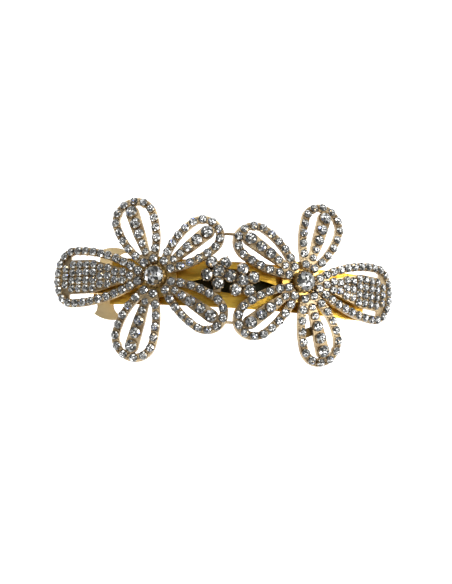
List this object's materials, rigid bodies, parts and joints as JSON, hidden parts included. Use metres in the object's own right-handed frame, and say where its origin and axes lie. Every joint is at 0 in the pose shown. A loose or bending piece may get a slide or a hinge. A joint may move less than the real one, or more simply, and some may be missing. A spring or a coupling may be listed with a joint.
{
  "type": "rhinestone hair clip",
  "caption": "Bowed hair barrette carrying two open five-petal flowers and a middle cluster, all set with round cut stones, over a hinged clasp arm.",
  "frame": {"origin": "middle of the clip's length and width, on the flat surface that the closed clip rests on", "axes": "+X along the clip from the latch end to the hinge end, +Y across it, +Z out of the decorated face"},
  "size_m": [0.0924, 0.0458, 0.0208],
  "materials": {
    "gold_plate": "polished yellow gold plating",
    "satin_gold": "satin pale gold plating",
    "crystal": "clear cut stones with foiled backs",
    "spring_steel": "dark spring steel"
  },
  "bodies": {
    "barrette": {"base_plate": "gold_plate", "cluster_frame": "gold_plate", "cluster_stones": "crystal", "hinge_end_keeper": "gold_plate", "hinge_pin": "gold_plate", "latch_base": "satin_gold", "latch_end_keeper": "gold_plate", "latch_pivots": "spring_steel", "left_centre_stone": "crystal", "left_hub": "gold_plate", "left_lower_inner_edge_stones": "crystal", "left_lower_inner_frame": "gold_plate", "left_lower_inner_inner_stones": "crystal", "left_lower_outer_edge_stones": "crystal", "left_lower_outer_frame": "gold_plate", "left_lower_outer_inner_stones": "crystal", "left_upper_inner_edge_stones": "crystal", "left_upper_inner_frame": "gold_plate", "left_upper_inner_inner_stones": "crystal", "left_upper_outer_edge_stones": "crystal", "left_upper_outer_frame": "gold_plate", "left_upper_outer_inner_stones": "crystal", "left_wide_edge_stones": "crystal", "left_wide_frame": "gold_plate", "left_wide_inner_stones": "crystal", "lower_link": "gold_plate", "petal_brace": "gold_plate", "right_centre_stone": "crystal", "right_hub": "gold_plate", "right_lower_inner_edge_stones": "crystal", "right_lower_inner_frame": "gold_plate", "right_lower_inner_inner_stones": "crystal", "right_lower_outer_edge_stones": "crystal", "right_lower_outer_frame": "gold_plate", "right_lower_outer_inner_stones": "crystal", "right_upper_inner_edge_stones": "crystal", "right_upper_inner_frame": "gold_plate", "right_upper_inner_inner_stones": "crystal", "right_upper_outer_edge_stones": "crystal", "right_upper_outer_frame": "gold_plate", "right_upper_outer_inner_stones": "crystal", "right_wide_edge_stones": "crystal", "right_wide_frame": "gold_plate", "right_wide_inner_stones": "crystal", "upper_link": "gold_plate"},
    "arm": {"clasp_arm": "gold_plate"},
    "spring_bar": {"tension_bar": "spring_steel"},
    "upper_jaw": {"upper_latch_jaw": "satin_gold"},
    "lower_jaw": {"lower_latch_jaw": "satin_gold"}
  },
  "joints": [
    {"name": "arm_hinge", "type": "hinge", "parent": "barrette", "child": "arm", "pos_m": [0.0345, -0.0013, 0.0022], "axis": [0, -1, 0], "range_deg": [0, 80]},
    {"name": "bar_flex", "type": "slide", "parent": "barrette", "child": "spring_bar", "axis": [0, 0, 1], "range_m": [0, 0.001], "stiffness_N_per_m": 300},
    {"name": "upper_jaw_squeeze", "type": "hinge", "parent": "barrette", "child": "upper_jaw", "pos_m": [-0.0316, 0.001, 0.004], "axis": [-1, 0, 0], "range_deg": [0, 8], "stiffness_Nm_per_rad": 0.004},
    {"name": "lower_jaw_squeeze", "type": "hinge", "parent": "barrette", "child": "lower_jaw", "pos_m": [-0.0316, -0.0036, 0.004], "axis": [1, 0, 0], "range_deg": [0, 8], "stiffness_Nm_per_rad": 0.004}
  ],
  "couplings": [
    {"joint": "lower_jaw_squeeze", "follows": "upper_jaw_squeeze", "ratio": 1}
  ]
}
